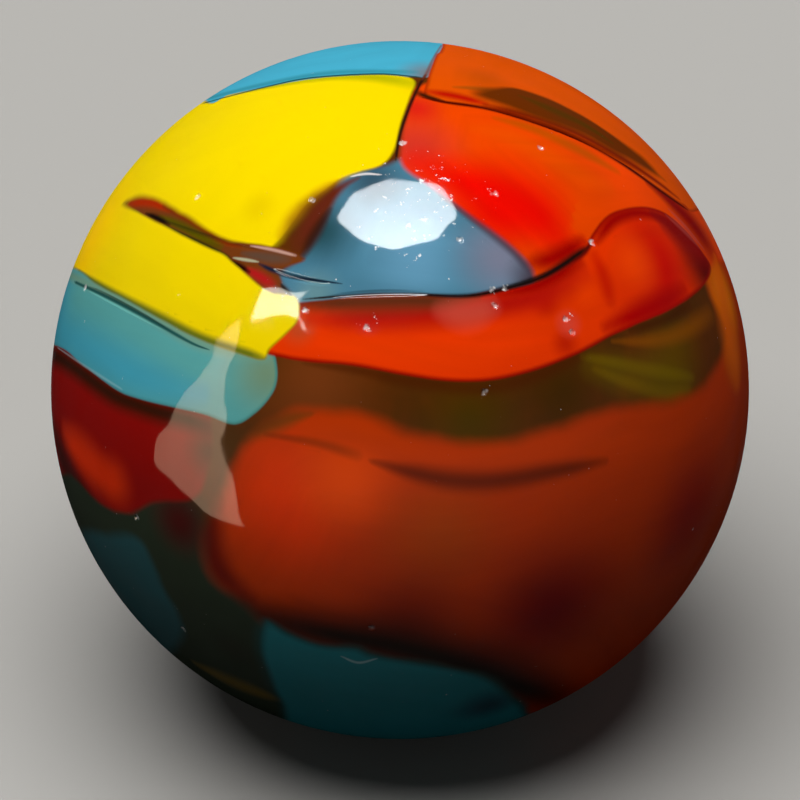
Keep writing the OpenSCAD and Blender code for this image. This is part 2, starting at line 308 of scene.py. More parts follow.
BLUE_BAND_RIBBON = Ribbon(
    "blue band", "#549e9c", 0.03,
    near=[(-6.4, 2.7), (-5, 2.1), (-3.7, 1.6), (-3, 1.2), (-2.84, 0.8), (-2.78, 0.3),
          (-2.9, -0.1), (-3.25, -0.5), (-3.75, -0.78), (-4.4, -0.57), (-5.1, -0.4),
          (-6, -0.18), (-6.5, 0.03), (-7.2, 0.55), *round_rim(BAND, YELLOW - LAP)],
    far=[],
    edge=("#44847c", 0.1),
    glows=[Glow(-3.0, 0.4, 1.4, "#6e8c70"), Glow(-7.85, 1.75, 2.6, "#3c9cb4")],
    streaks=[
        Streak("#3c9cb4", [(-8, 1.5, 0.5), (-7.6, 1.2, 0.5), (-6.8, 0.75, 0.5),
                           (-5.9, 0.3, 0.45), (-5, 0, 0.35), (-4.4, -0.1, 0.25)], amount=0.85),
        Streak("#6c9884", [(-7.6, 2.65, 0.1), (-6.5, 2.12, 0.12), (-5.5, 1.6, 0.14),
                           (-4.5, 1.08, 0.16), (-3, 0.75, 0.14)]),
        Streak("#1c504c", [(-7.45, 2.48, 0.03), (-6.7, 2.12, 0.04), (-6, 1.76, 0.045),
                           (-5.3, 1.38, 0.045), (-4.7, 1.05, 0.03), (-4.3, 0.9, 0.015)], 0.2),
    ],
)
BLUE_TOP_RIBBON = Ribbon(
    "top blue ribbon", "#42a4c0", 0.04,
    near=[(-3.6, 6.2), (-2, 6.6), (-0.4, 6.8), (0.2, 7.13), (0.6, 7.12), (1.1, 7.3),
          *round_rim(SEAM - LAP, TOP_BLUE + LAP)],
    far=[(3.8, 5.8), (2.2, 4.6), (0.4, 3.4), (-1.2, 2.5), (-2.6, 2), (-1.6, 3.1), (-0.2, 4.3),
         (0.9, 5.3), (1.3, 6.2), (0.9, 7), (0.1, 7.5), *far_rim(SEAM, TOP_BLUE + LAP)],
    glows=[Glow(0.7, 7.2, 1.0, "#6c747c")],
    streaks=[
        Streak("#2c8494", [(-4.4, 6.68, 0.1), (-3, 7.0, 0.12), (-1.5, 7.24, 0.12),
                           (0.4, 7.25, 0.1)], amount=0.8),
    ],
)
BLUE_MIDDLE_RIBBON = Ribbon(
    "middle blue ribbon", "#44768c", 0.12,
    near=[(-1.2, 4.9), (-0.3, 5.1), (0.5, 5.3), (1.8, 4.8), (2.9, 4), (3.6, 3.2), (3.8, 2.4),
          (2.6, 1.7), (1, 1.5), (-1, 1.5), (-2, 1.6), (-2.5, 2.2), (-2.7, 2.6), (-2.2, 3),
          (-1.9, 3.6), (-1.55, 4.2)],
    far=[],
    glows=[
        Glow(0.4, 3.0, 1.6, "#5c90ac"),
        Glow(2.3, 3.0, 1.5, "#74788c"),
        Glow(3.0, 2.5, 0.8, "#443c48"),
        Glow(-1.8, 3.6, 1.2, "#20444c"),
        Glow(-0.6, 4.7, 1.0, "#304c5c"),
        Glow(-1.9, 2.2, 0.8, "#5c848c"),
    ],
    grain=0.18,
)
RED_RIBBON = Ribbon(
    "red ribbon", "#de4000", 0.1,
    near=[(0.2, 6.5), (0.12, 6.1), (0.02, 5.6), (0.1, 5.05), (0.8, 4.55), (1.5, 3.98),
          (2.1, 3.55), (2.6, 3.15), (2.95, 2.75), (3.3, 2), (4.3, 1.9), (5.8, 2.2),
          (6.8, 2.55), (7.2, 2.9), *round_rim(GLOW, FOLD + LAP), (5.8, 5.6), (4, 6.5),
          (2.4, 6.8), (1, 7), (0.4, 6.9)],
    far=[(-7, 3.1), (-6.3, 3.2), (-6.4, 3.7), *far_rim(FOLD, GLOW)],
    glows=[
        Glow(5.1, 4.8, 1.4, "#f04400"),
        Glow(2.3, 4.1, 1.4, "#dc0600"),
        Glow(0.3, 5.5, 1.6, "#c43020"),
        Glow(0.4, 6.4, 0.8, "#cc2010"),
    ],
    streaks=[
        Streak("#dc4800", [(1.6, 5.95, 0.15), (2.4, 5.8, 0.25), (3.2, 5.4, 0.3),
                           (4, 4.95, 0.3), (4.8, 4.6, 0.25)], amount=0.8),
        Streak("#8c5000", [(2.1, 6.2, 0.08), (3, 5.95, 0.14), (4, 5.5, 0.16),
                           (5, 4.95, 0.1)], amount=0.5),
        Streak("#e00800", [(0.2, 5.2, 0.4), (1.2, 4.8, 0.6), (2.1, 4.45, 0.9),
                           (3.0, 4.05, 0.9), (3.7, 3.35, 0.55), (4.2, 3.2, 0.3)]),
        Streak("#980400", [(2.9, 2.85, 0.16), (3.5, 3.0, 0.22), (4.2, 3.4, 0.16)]),
        Streak("#840404", [(5.6, 4.75, 0.1), (6.05, 4.4, 0.2), (6.45, 4.05, 0.4),
                           (6.8, 3.65, 0.45), (7.2, 3.1, 0.5)]),
        Streak("#b0504c", [(6.1, 4.15, 0.03), (6.5, 3.75, 0.05), (6.95, 3.2, 0.03)], amount=0.4),
        Streak("#b0504c", [(5.9, 4.0, 0.03), (6.3, 3.85, 0.05), (6.8, 3.35, 0.03)], amount=0.3),
        # Painted glow of light through the glass at the right rim
        Streak("#e48850", [(6.5, 4.6, 0.03), (6.9, 4.0, 0.06), (7.2, 3.4, 0.05)], amount=0.8),
    ],
    grain=0.16,
)
ORANGE_TOP_RIBBON = Ribbon(
    "top orange ribbon", "#d44c00", 0.03,
    near=[(0.82, 7.65), (0.72, 7.4), (0.62, 7.05), (0.6, 6.65), (1.4, 6.5), (2.2, 6.37),
          (3, 6.13), (3.8, 5.83), (4.6, 5.45), (5.4, 4.92), (6, 4.52), (6.5, 4.2),
          *round_rim(FOLD, SEAM + TURN)],
    far=[],
    edge=("#a42c00", 0.12),
    glows=[Glow(1.9, 7.1, 0.9, "#c04800")],
    streaks=[
        Streak("#b01000", [(0.6, 6.8, 0.12), (1.3, 6.68, 0.14), (2, 6.5, 0.1)]),
        Streak("#8c4808", [(1.2, 6.9, 0.05), (1.8, 6.86, 0.1), (2.5, 6.75, 0.14)], amount=0.7),
        Streak("#7c1800", [(1.9, 6.5, 0.08), (3, 6.22, 0.14), (4, 5.86, 0.14),
                           (5, 5.32, 0.12), (5.8, 4.8, 0.08), (6.4, 4.35, 0.05)]),
        Streak("#7c3804", [(4.6, 5.85, 0.08), (5.4, 5.3, 0.1), (6.1, 4.75, 0.06)], amount=0.6),
    ],
)
OLIVE_RIBBON = Ribbon(
    "olive wisp", "#642800", 0.09,
    near=[(1.7, 6.75, 0.25), (2.4, 6.9), (3.1, 6.75), (4, 6.35), (4.8, 5.85), (5.6, 5.25, 0.2),
          (5.85, 4.9, 0.2), (5.2, 5.25, 0.2), (4.3, 5.75, 0.2), (3.4, 6.1, 0.2),
          (2.4, 6.45, 0.2)],
    far=[],
    streaks=[Streak("#4c3000", [(2.7, 6.72, 0.05), (3.4, 6.42, 0.14), (4.2, 6.05, 0.12),
                                (4.9, 5.6, 0.06)], amount=0.8)],
)
SNAKE_RIBBON = Ribbon(
    "snake ribbon", "#e03400", 0.04,
    near=[(-3.3, 0.95), (-3.1, 1.5), (-2.7, 1.9), (-2.1, 2), (-1.5, 2.07), (-0.7, 2.18),
          (0.4, 2.17), (1.4, 2.12), (2.2, 2.27), (3, 2.44), (3.5, 2.75), (4.15, 3.1),
          (4.35, 3.5), (4.75, 3.98), (5.4, 4.17), (6, 4.05), (6.5, 3.65), (6.9, 3.15),
          (7.1, 2.75), (6.85, 2.3), (6.2, 1.85), (5.4, 1.5), (4.8, 1.22), (4, 0.8),
          (3, 0.42), (2, 0.2), (1, 0.2), (0, 0.35), (-1, 0.53), (-2, 0.63), (-2.6, 0.72)],
    far=[],
    edge=("#8c0400", 0.14),
    glows=[
        Glow(5.8, 2.8, 2.2, "#c80000"),
        Glow(5.3, 2.9, 1.2, "#f04000"),
        Glow(6.95, 2.8, 1.5, "#480000"),
        Glow(-2.3, 1.4, 0.6, "#b84018"),
        Glow(3.75, 1.05, 0.5, "#a00000", 0.6),
        Glow(3.3, 1.95, 0.5, "#a80000", 0.6),
        Glow(4.2, 2.2, 0.5, "#e83c00", 0.8),
        Glow(-0.72, 1.5, 0.4, "#c83c34", 0.7),
        Glow(2.1, 1.95, 0.35, "#c84038", 0.6),
        Glow(3.82, 1.5, 0.45, "#d84838", 0.7),
    ],
    streaks=[
        Streak("#b01206", [(-2.1, 1.6, 0.14), (-1, 1.62, 0.26), (0.5, 1.7, 0.3),
                           (2, 1.9, 0.3), (3.2, 2.15, 0.32), (4.2, 2.75, 0.3)]),
        Streak("#5c2812", [(-2.5, 1.9, 0.14), (-1.2, 1.98, 0.24), (0, 2.02, 0.25),
                           (0.9, 2.03, 0.2), (1.8, 2.12, 0.1)]),
        Streak("#e43800", [(-1.8, 1.05, 0.15), (0, 0.85, 0.28), (1.5, 0.75, 0.3),
                           (2.9, 1.05, 0.25)], amount=0.7),
        Streak("#9c0400", [(2.2, 2.15, 0.08), (3.2, 2.4, 0.12), (4.1, 2.95, 0.16)]),
        Streak("#b40000", [(4.4, 3.1, 0.14), (4.65, 2.5, 0.18), (4.8, 1.9, 0.14)], amount=0.6),
        Streak("#a80000", [(4.6, 1.4, 0.15), (5.4, 1.72, 0.25), (6, 2, 0.28),
                           (6.5, 2.3, 0.2)]),
        Streak("#980400", [(4.45, 3.35, 0.1), (4.85, 3.85, 0.14), (5.4, 4.03, 0.14),
                           (6, 3.9, 0.12), (6.5, 3.52, 0.1), (6.9, 3.05, 0.1)]),
        Streak("#840808", [(5.7, 4.05, 0.1), (6.2, 3.7, 0.35), (6.6, 3.36, 0.5),
                           (7.05, 2.98, 0.4)]),
        Streak("#a84440", [(6.05, 4.0, 0.03), (6.5, 3.6, 0.07), (6.95, 3.15, 0.04)], amount=0.5),
        Streak("#cc5844", [(0.8, 1.8, 0.2), (1.5, 1.75, 0.32), (2.2, 1.9, 0.2)], amount=0.5),
    ],
    grain=0.14,
)
YELLOW_RIBBON = Ribbon(
    "yellow ribbon", "#ebcd00", 0.045,
    near=[(-3.9, 6.75), (-3, 6.93), (-2, 7.1), (-1, 7.18), (-0.2, 7.18), (0.33, 7.05),
          (0.22, 6.6), (0.03, 6.05), (-0.12, 5.45), (-0.4, 5.1), (-0.9, 4.93, 0.08),
          (-1.3, 4.78, 0.12), (-1.7, 4.5, 0.2), (-2.1, 4.18, 0.3), (-2.4, 3.8, 0.3),
          (-2.65, 3.45, 0.18), (-3.2, 2.8), (-2.9, 2.25), (-2.35, 2.1), (-2.3, 1.6),
          (-2.6, 1.25), (-2.95, 0.92), (-3.1, 0.68), (-3.7, 0.83), (-4.5, 1.12), (-5.3, 1.52),
          (-6.1, 1.97), (-6.9, 2.4), *round_rim(YELLOW, TOP_BLUE)],
    far=[(3.3, 5.8), (1.8, 4.5), (0.3, 3.3), (-1.2, 2.3), (-2.6, 1.5), (-1.8, 0.9),
         (-0.2, 1.2), (1.6, 1.7), (3.6, 2.1), (5.8, 2.6), *far_rim(YELLOW, TOP_BLUE)],
    edge=("#b09800", 0.08),
    glows=[Glow(-3.2, 4.15, 0.6, "#d0ac00", 0.4), Glow(-7.1, 3.4, 2.4, "#ffca00")],
    streaks=[
        Streak("#646c14", [(-7.4, 2.72, 0.05), (-6.5, 2.2, 0.08), (-5.5, 1.68, 0.1),
                           (-4.5, 1.18, 0.1), (-3.5, 0.84, 0.1), (-3, 0.67, 0.08)]),
        Streak("#b4ac00", [(-3.8, 6.76, 0.05), (-2, 7.08, 0.12), (-0.8, 7.14, 0.18),
                           (0.3, 6.98, 0.24), (0.6, 6.9, 0.24)]),
        Streak("#b06c08", [(-1.2, 4.8, 0.06), (-1.7, 4.52, 0.16), (-2.3, 3.98, 0.22),
                           (-2.72, 3.45, 0.16)], amount=0.7),
    ],
    grain=0.04,
)
FOLD_RIBBON = Ribbon(
    "fold", "#6c3410", 0.05,
    near=[(-6.32, 4.24, 0.12), (-6.1, 4.38, 0.15), (-5.8, 4.42, 0.12), (-5.5, 4.36, 0.12),
          (-5.1, 4.12, 0.1), (-4.7, 3.86, 0.1), (-4.3, 3.6, 0.08), (-3.9, 3.42, 0.08),
          (-3.5, 3.34), (-3.1, 3.28), (-2.7, 3.2), (-2.28, 3.05), (-2.15, 2.93),
          (-2.5, 2.82), (-2.75, 2.68), (-2.68, 2.42), (-2.8, 2.2), (-3, 2.24),
          (-3.2, 2.37), (-3.5, 2.62), (-3.83, 2.9), (-4, 3.06), (-4.4, 3.25), (-5, 3.54),
          (-5.55, 3.82), (-5.95, 4.03)],
    far=[],
    streaks=[
        Streak("#a02400", [(-6.2, 4.26, 0.1), (-5.85, 4.28, 0.12), (-5.55, 4.23, 0.1),
                           (-5.2, 4.06, 0.05)]),
        Streak("#742804", [(-5.4, 4.2, 0.05), (-5, 3.98, 0.07), (-4.5, 3.66, 0.07),
                           (-4, 3.38, 0.08), (-3.6, 3.26, 0.06)]),
        Streak("#504800", [(-5.5, 3.96, 0.05), (-5, 3.74, 0.1), (-4.5, 3.46, 0.11),
                           (-4.05, 3.22, 0.1)]),
        Streak("#20200a", [(-5.4, 3.76, 0.03), (-4.7, 3.42, 0.035), (-4.1, 3.13, 0.035),
                           (-3.85, 2.97, 0.05)]),
        Streak("#100804", [(-5.8, 4.03, 0.03), (-5.55, 3.92, 0.07), (-5.25, 3.76, 0.04)]),
        Streak("#5a4030", [(-3.6, 3.1, 0.06), (-3, 3.0, 0.12), (-2.5, 2.95, 0.1)]),
        # Painted highlight along the fold's upper lip
        Streak("#c89c8c", [(-3.4, 3.27, 0.02), (-2.9, 3.18, 0.035), (-2.35, 3.04, 0.03)],
               amount=0.8),
        # Painted highlight strip below the fold
        Streak("#a8a484", [(-3.8, 3.0, 0.02), (-3.5, 2.95, 0.035), (-3.2, 2.9, 0.02)]),
        Streak("#a81818", [(-3.5, 2.76, 0.06), (-3.2, 2.58, 0.11), (-2.85, 2.35, 0.11)]),
        Streak("#200404", [(-3.85, 2.95, 0.03), (-3.62, 2.8, 0.06), (-3.4, 2.66, 0.04)]),
    ],
)
# Where two ribbons overlap, the later one shows
RIBBONS = (
    ORANGE_RIBBON, SMOKE_RIBBON, DIM_BLUE_RIBBON, GARNET_RIBBON, BLUE_BOTTOM_RIBBON,
    BLUE_BAND_RIBBON, BLUE_TOP_RIBBON, BLUE_MIDDLE_RIBBON, RED_RIBBON, ORANGE_TOP_RIBBON,
    OLIVE_RIBBON, SNAKE_RIBBON, YELLOW_RIBBON, FOLD_RIBBON,
)
# Tones and dark lines over everything, where ribbons meet, with a few painted glints and a painted
# rim glow
SEAMS_AND_PAINTED_LIGHT = (
    Streak("#5c2010", [(-0.9, 4.83, 0.04), (-1.3, 4.62, 0.1), (-1.7, 4.25, 0.17),
                       (-2.0, 3.8, 0.22), (-2.25, 3.35, 0.24), (-2.35, 3.15, 0.16)]),
    Streak("#2c140c", [(-1.55, 4.15, 0.06), (-1.82, 3.72, 0.12), (-2.05, 3.32, 0.12),
                       (-2.2, 3.0, 0.08)], amount=0.85),
    Streak("#0c1c30", [(-3.2, 2.86, 0.03), (-2.9, 2.72, 0.05), (-2.5, 2.58, 0.05),
                       (-2, 2.5, 0.035), (-1.3, 2.4, 0.015)]),
    Streak("#1c1410", [(-2.72, 2.42, 0.02), (-2.6, 2.28, 0.04), (-2.44, 2.12, 0.02)]),
    Streak("#28100a", [(-0.1, 5.2, 0.02), (0.0, 5.8, 0.035), (0.2, 6.4, 0.04),
                       (0.42, 6.9, 0.04), (0.6, 7.2, 0.03)]),
    Streak("#703018", [(0.5, 7.05, 0.02), (0.62, 7.25, 0.035), (0.75, 7.55, 0.03),
                       (0.95, 7.9, 0.02)], amount=0.7),
    Streak("#341404", [(0.35, 6.8, 0.12), (0.6, 6.68, 0.09), (1.0, 6.57, 0.05)]),
    Streak("#440400", [(0.5, 6.66, 0.02), (1, 6.55, 0.05), (2, 6.4, 0.06), (3, 6.12, 0.07),
                       (4, 5.75, 0.07), (5, 5.2, 0.07), (6, 4.5, 0.06), (6.6, 4.1, 0.03)]),
    Streak("#143c34", [(-4.55, 6.55, 0.03), (-3, 6.93, 0.04), (-2, 7.12, 0.04),
                       (-0.5, 7.2, 0.04), (0.5, 7.12, 0.03)]),
    Streak("#3c2430", [(0.9, 4.45, 0.05), (1.5, 3.97, 0.08), (2.1, 3.52, 0.1),
                       (2.6, 3.1, 0.1), (3, 2.65, 0.1)], amount=0.75),
    Streak("#1a0c08", [(-2.2, 2.05, 0.02), (-1, 2.15, 0.03), (0, 2.18, 0.03),
                       (1.5, 2.13, 0.05), (2.5, 2.33, 0.06), (3.3, 2.6, 0.08),
                       (4, 3.05, 0.09), (4.35, 3.3, 0.04)]),
    # Painted glow of light through the glass along the right rim
    Streak("#e06000", [(7.2, 3.1, 0.1), (7.34, 2.35, 0.4), (7.46, 1.6, 0.45),
                       (7.62, 0.8, 0.45), (7.72, 0.1, 0.3)], amount=0.85),
    # Painted glints along the top edge of the window's highlight
    Streak("#e4dcd8", [(-1.15, 4.83, 0.015), (-0.8, 4.9, 0.03), (-0.4, 4.88, 0.015)],
           amount=0.8),
    # Painted glint along the lower edge of the blue band
    Streak("#a8ccd0", [(-7.85, 0.98, 0.012), (-7, 0.43, 0.03), (-6.3, 0.0, 0.02)], amount=0.35),
)
# The white of the painted glints at the wear pits, also laid on the scuff specks
SCUFF_AND_GLINT_WHITE = "#e8e4e0"
# How far a pit's painted glint reaches, the size of its ragged points, and how many there are in a
# map millimetre
PIT_GLINT_REACH = 0.1
PIT_GLINT_RAG = 0.2
PIT_GLINT_GRAIN = 8.0
# Patches of fine scuff specks, their white partly painted glints: place on the near map, and reach
SCUFF_AND_GLINT_PATCHES = (
    (0.3, 4.2, 2.9), (0.9, 4.95, 1.0), (-0.72, 1.55, 0.5), (3.8, 1.55, 0.5), (-2.5, 2.3, 0.7),
)
# How many specks there are in a map millimetre, how much a patch adds to them, and the
# strengths at which a speck starts to show and is whole
SPECK_GRAIN = 5.0
SPECK_GAIN = 0.13
SPECK_RANGE = (0.72, 0.82)

# Fold creases on the near map: start, middle and end of each
CREASES = (
    ((-6, 4.15), (-4.5, 3.5), (-2.4, 2.98)),
    ((-3.1, 2.85), (-2.4, 2.55), (-1.3, 2.38)),
    ((-2.2, 2.02), (-0.5, 2.19), (1.2, 2.13)),
    ((1.2, 2.13), (2.8, 2.39), (4.3, 3.25)),
    ((0.62, 6.66), (3, 6.13), rim(34.5, 0.955)),
    (rim(161.7, 0.975), (-6, 1.75), (-4.6, 0.97)),
)
# Points along a crease
CREASE_POINTS = 60

# Wear pits: (x, y, strength of the painted glint at the pit) on the near map, (x, y) on the far
# one
NEAR_PITS = (
    (0.05, 5.6, 0.9), (-2, 4.3, 0.7), (1.35, 3.4, 0.7), (-2.15, 1.8, 0.9), (-0.75, 1.4, 0.9),
    (2.1, 2.25, 1), (2.4, 2.3, 1), (2.15, 1.9, 0.6), (3.75, 1.6, 0.9), (3.9, 1.3, 0.8),
    (4.35, 3.35, 0.8), (3.2, 5.5, 0.5), (2.15, 4.45, 0.5), (-4.6, 4.4, 0.5), (1.9, -0.05, 0.3),
    (*rim(162, 0.945), 0.8), (-6, -2.9, 0.8), (-4.95, -5.45, 0.7), (-0.65, -5.4, 0.2),
)
FAR_PITS = (
    (-4.5, 3.5), (-2.2, -1.4), (0.6, 5.2), (3.4, 3.8), (4.8, -2.6), (-5.4, -3.1), (1.2, -6.2),
)


def srgb(code):
    """A hex colour as a linear colour with alpha."""
    parts = [int(code[i:i + 2], 16) / 255 for i in (1, 3, 5)]
    linear = [c / 12.92 if c <= 0.04045 else ((c + 0.055) / 1.055) ** 2.4 for c in parts]
    return (*linear, 1.0)


# ---- Settings -----------------------------------------------------------------------------


class MarbleSettings(bpy.types.PropertyGroup):
    """Sizes and finish of the ball."""

    diameter: FloatProperty(
        name="Diameter", description="Diameter of the ball",
        default=min(cad_box[1] - cad_box[0]), min=0.012, max=0.025,
        subtype="DISTANCE", unit="LENGTH")
    amber: FloatVectorProperty(
        name="Base glass", description="Colour of the clear base glass",
        default=srgb(AMBER_GLASS.colour), size=4, min=0, max=1, subtype="COLOR")
    crease_width: FloatProperty(
        name="Crease width", description="Width of a fold crease at the skin",
        default=0.00016, min=0.0001, max=0.0003, precision=5, unit="LENGTH")
    crease_depth: FloatProperty(
        name="Crease depth", description="Depth of a fold crease",
        default=0.00004, min=0.00002, max=0.00005, precision=5, unit="LENGTH")
    pit_width: FloatProperty(
        name="Pit width", description="Width of a wear pit at the skin",
        default=0.00016, min=0.0001, max=0.0003, precision=5, unit="LENGTH")
    pit_depth: FloatProperty(
        name="Pit depth", description="Depth of a wear pit",
        default=0.00003, min=0.00002, max=0.00005, precision=5, unit="LENGTH")
    gloss: FloatProperty(
        name="Roughness", description="Roughness of the fire-polished skin",
        default=0.05, min=0, max=1, subtype="FACTOR")
    waves: FloatProperty(
        name="Waves", description="Height of the slow waves in the skin",
        default=0.00004, min=0, max=0.0002, precision=6, unit="LENGTH")
    facets: IntProperty(
        name="Facets", description="Times that the ball's first twenty faces are split",
        default=7, min=3, max=8)


class StageSettings(bpy.types.PropertyGroup):
    """Floor, lamps and camera."""

    floor: FloatVectorProperty(
        name="Floor", description="Colour of the floor",
        default=srgb("#a6a4a0"), size=4, min=0, max=1, subtype="COLOR")
    daylight: FloatProperty(
        name="Daylight", description="Strength of the soft light from overhead",
        default=3.9, min=0)
    window: FloatProperty(
        name="Window", description="Power of the lamp that shows as the highlight",
        default=8.5, min=0, unit="POWER")
    horizon: FloatProperty(
        name="Horizon", description="Brightness of the room level with the ball",
        default=0.45, min=0, max=1, subtype="FACTOR")
    ceiling: FloatProperty(
        name="Ceiling", description="Brightness of the room overhead",
        default=0.05, min=0, max=1, subtype="FACTOR")


# ---- Building the ball --------------------------------------------------------------------


def tree_of(points):
    """A search tree over points in space."""
    tree = KDTree(len(points))
    for i, point in enumerate(points):
        tree.insert(point, i)
    tree.balance()
    return tree


def inside(polygon, points):
    """Whether each map point lies inside a closed outline."""
    x, y = points
    result = np.zeros(len(x), bool)
    for (x0, y0), (x1, y1) in zip(polygon, np.roll(polygon, -1, axis=0)):
        if y0 == y1:
            continue
        crossed = (y0 > y) != (y1 > y)
        result ^= crossed & (x < (x1 - x0) * (y - y0) / (y1 - y0) + x0)
    return result


# How far past the rim a point still counts as on the map, as a share of its radius
RIM_SLACK = 0.0001


def on_map(point):
    return math.hypot(point[0], point[1]) <= RIM * (1 + RIM_SLACK)


def skin_points(curve, near):
    """The stretch of a curve that lies on the map, as points of the skin."""
    return [on_skin(p[0], p[1], near) for p in curve if on_map(p)]


def map_places(verts):
    """Each vertex's place on the near and the far map, and whether it is on the near one."""
    x, y, toward = verts @ RIGHT, verts @ UP, verts @ TOWARD
    return (x, y), (-x, y), toward >= 0


def side_steps(line):
    """Unit vectors along a line on the skin, and across it to its left."""
    along = np.gradient(line, axis=0)
    along /= np.linalg.norm(along, axis=1, keepdims=True)
    across = np.cross(line / np.linalg.norm(line, axis=1, keepdims=True), along)
    return along, across


def full_outline(outline, blur):
    """A closed outline as (x, y, blur) points that lie close together on the skin."""
    curve = closed_curve([(*p, blur) if len(p) == 2 else p for p in outline])
    made = []
    for start, end in zip(curve, np.roll(curve, -1, axis=0)):
        made.append(start)
        if not (on_map(start) and on_map(end)):
            continue
        a, b = on_skin(*start[:2]), on_skin(*end[:2])
        parts = math.ceil(np.linalg.norm(b - a) / POINT_GAP)
        for share in (i / parts for i in range(1, parts)):
            place = a + (b - a) * share
            place *= RIM / np.linalg.norm(place)
            made.append((place @ RIGHT, place @ UP, start[2] + (end[2] - start[2]) * share))
    return np.array(made)


def border_of(outline, near):
    """The stretch of an outline that lies on a map: places, blurs, and steps to either side."""
    start = next((i for i, p in enumerate(outline) if not on_map(p)), 0)
    kept = np.array([p for p in np.roll(outline, -start, axis=0) if on_map(p)])
    line = np.array([on_skin(p[0], p[1], near) for p in kept])
    return line, kept[:, 2], *side_steps(line)


def ribbon_field(ribbon, verts):
    """Depth into the ribbon from its edge at each vertex, as a share of its blur and in map mm."""
    near_place, far_place, is_near = map_places(verts)
    within = np.zeros(len(verts), bool)
    borders = []
    for outline, place, near in ((ribbon.near, near_place, True), (ribbon.far, far_place, False)):
        if not outline:
            continue
        outline = full_outline(outline, ribbon.blur)
        within |= inside(outline[:, :2], place) & (is_near == near)
        borders.append(border_of(outline, near))
    line, blurs, along, across = (np.concatenate(parts) for parts in zip(*borders))
    nearest, offset = nearest_on(line, verts)
    beside = np.einsum("ij,ij->i", offset, across[nearest])
    before = np.abs(np.einsum("ij,ij->i", offset, along[nearest]))
    distance = np.hypot(beside, np.maximum(0.0, before - POINT_GAP / 2))
    depth = np.where(within, distance, -distance)
    return np.stack([depth / blurs[nearest], depth, np.zeros(len(verts))], axis=1)


# A streak's field where there is no streak, in half widths from its middle
FAR_OFF = 9.0
# How far from its middle a streak's two sides are told apart at least, in map millimetres
SIGNED_REACH = 0.25
# The length over which a streak's ends fade, and how far to its sides they are told apart,
# in its half widths
FADE = 5.0
SIGNED_WIDTHS = 3.0
# The least half width that a streak's point is taken to have, in map millimetres
LEAST_WIDTH = 0.01


def nearest_on(line, verts):
    """The number of the line's point nearest to each vertex, and the step to the vertex."""
    tree = tree_of(line)
    nearest = np.array([tree.find(v)[1] for v in verts])
    return nearest, verts - line[nearest]


def streak_field(streak, verts):
    """Steps across and beyond the ends of a streak at each vertex, in its half widths."""
    curve = open_curve(streak.points)
    line = np.array([on_skin(x, y) for x, y, _ in curve])
    widths = np.maximum(curve[:, 2], LEAST_WIDTH)
    along, across = side_steps(line)
    middle = line.mean(axis=0)
    reach = np.linalg.norm(line - middle, axis=1).max() + 4 * widths.max() + SIGNED_REACH
    close = np.flatnonzero(np.linalg.norm(verts - middle, axis=1) < reach)
    nearest, offset = nearest_on(line, verts[close])
    beside = np.einsum("ij,ij->i", offset, across[nearest])
    before = np.einsum("ij,ij->i", offset, along[nearest])
    beyond = np.where(nearest == 0, np.maximum(0, -before), 0.0)
    beyond = np.where(nearest == len(line) - 1, np.maximum(0, before), beyond)
    run = np.concatenate([[0], np.cumsum(np.linalg.norm(np.diff(line, axis=0), axis=1))])
    from_end = np.minimum(run, run[-1] - run)[nearest]
    fade = min(run[-1] / 3, FADE * widths.max())
    beyond = beyond / widths[nearest] + np.maximum(0, 1 - from_end / fade)
    away = np.abs(beside) > np.maximum(SIGNED_REACH, SIGNED_WIDTHS * widths[nearest])
    field = np.full((len(verts), 3), (0.0, FAR_OFF, 0.0))
    field[close, 0] = np.where(away, 0.0, beside) / widths[nearest]
    field[close, 1] = np.where(away, np.abs(beside) / widths[nearest], beyond)
    return np.clip(field, -FAR_OFF, FAR_OFF)


def circle_through(a, b, c, count):
    """Points on the arc that runs from a through b to c."""
    p, q = b - a, c - a
    n = np.cross(p, q)
    centre = a + (np.cross(n, p) * (q @ q) + np.cross(q, n) * (p @ p)) / (2 * (n @ n))
    across = (a - centre) / np.linalg.norm(a - centre)
    along = np.cross(n / np.linalg.norm(n), across)
    sweep = math.atan2((c - centre) @ along, (c - centre) @ across) % (2 * math.pi)
    turns = np.linspace(0, sweep, count)
    radius = np.linalg.norm(a - centre)
    return [centre + radius * (across * math.cos(t) + along * math.sin(t)) for t in turns]


def cutter_radius(width, depth):
    """Radius of a round cutter that leaves a mark of this width and depth."""
    return (width * width / 4 + depth * depth) / (2 * depth)


def crease_paths(settings):
    """The cutter's path along each crease, in metres: it lifts clear of the skin at both ends."""
    radius = settings.diameter / 2
    cutter = cutter_radius(settings.crease_width, settings.crease_depth)
    bottom = (radius + cutter - settings.crease_depth) / RIM
    clear = (radius + cutter + settings.crease_depth) / RIM
    return [
        circle_through(on_skin(*start) * clear, on_skin(*middle) * bottom,
                       on_skin(*end) * clear, CREASE_POINTS)
        for start, middle, end in CREASES
    ]


def pit_places(settings):
    """The cutter's place at each pit, in metres."""
    cutter = cutter_radius(settings.pit_width, settings.pit_depth)
    reach = (settings.diameter / 2 + cutter - settings.pit_depth) / RIM
    return [on_skin(x, y) * reach for x, y, _ in NEAR_PITS] + [
        on_skin(*p, near=False) * reach for p in FAR_PITS]


def refine(bm, lines, reach):
    """Splits the edges that lie within reach of the lines, and puts the new points on the skin."""
    tree = tree_of(lines)
    close = {v for v in bm.verts if tree.find(v.co)[2] < reach}
    edges = [e for e in bm.edges if e.verts[0] in close or e.verts[1] in close]
    bmesh.ops.subdivide_edges(bm, edges=edges, cuts=1, use_grid_fill=False)
    bmesh.ops.triangulate(bm, faces=[f for f in bm.faces if len(f.verts) > 3])
    for vert in bm.verts:
        vert.co *= RIM / vert.co.length


# Reach of each round of splitting, in map millimetres: borders and marks, then marks alone
SPLIT_REACH = 0.2
MARK_REACHES = (0.16, 0.11)
# The least blur of a border and half width of a streak that the unsplit mesh can show
CRISP_BLUR = 0.11
THIN_STREAK = 0.08


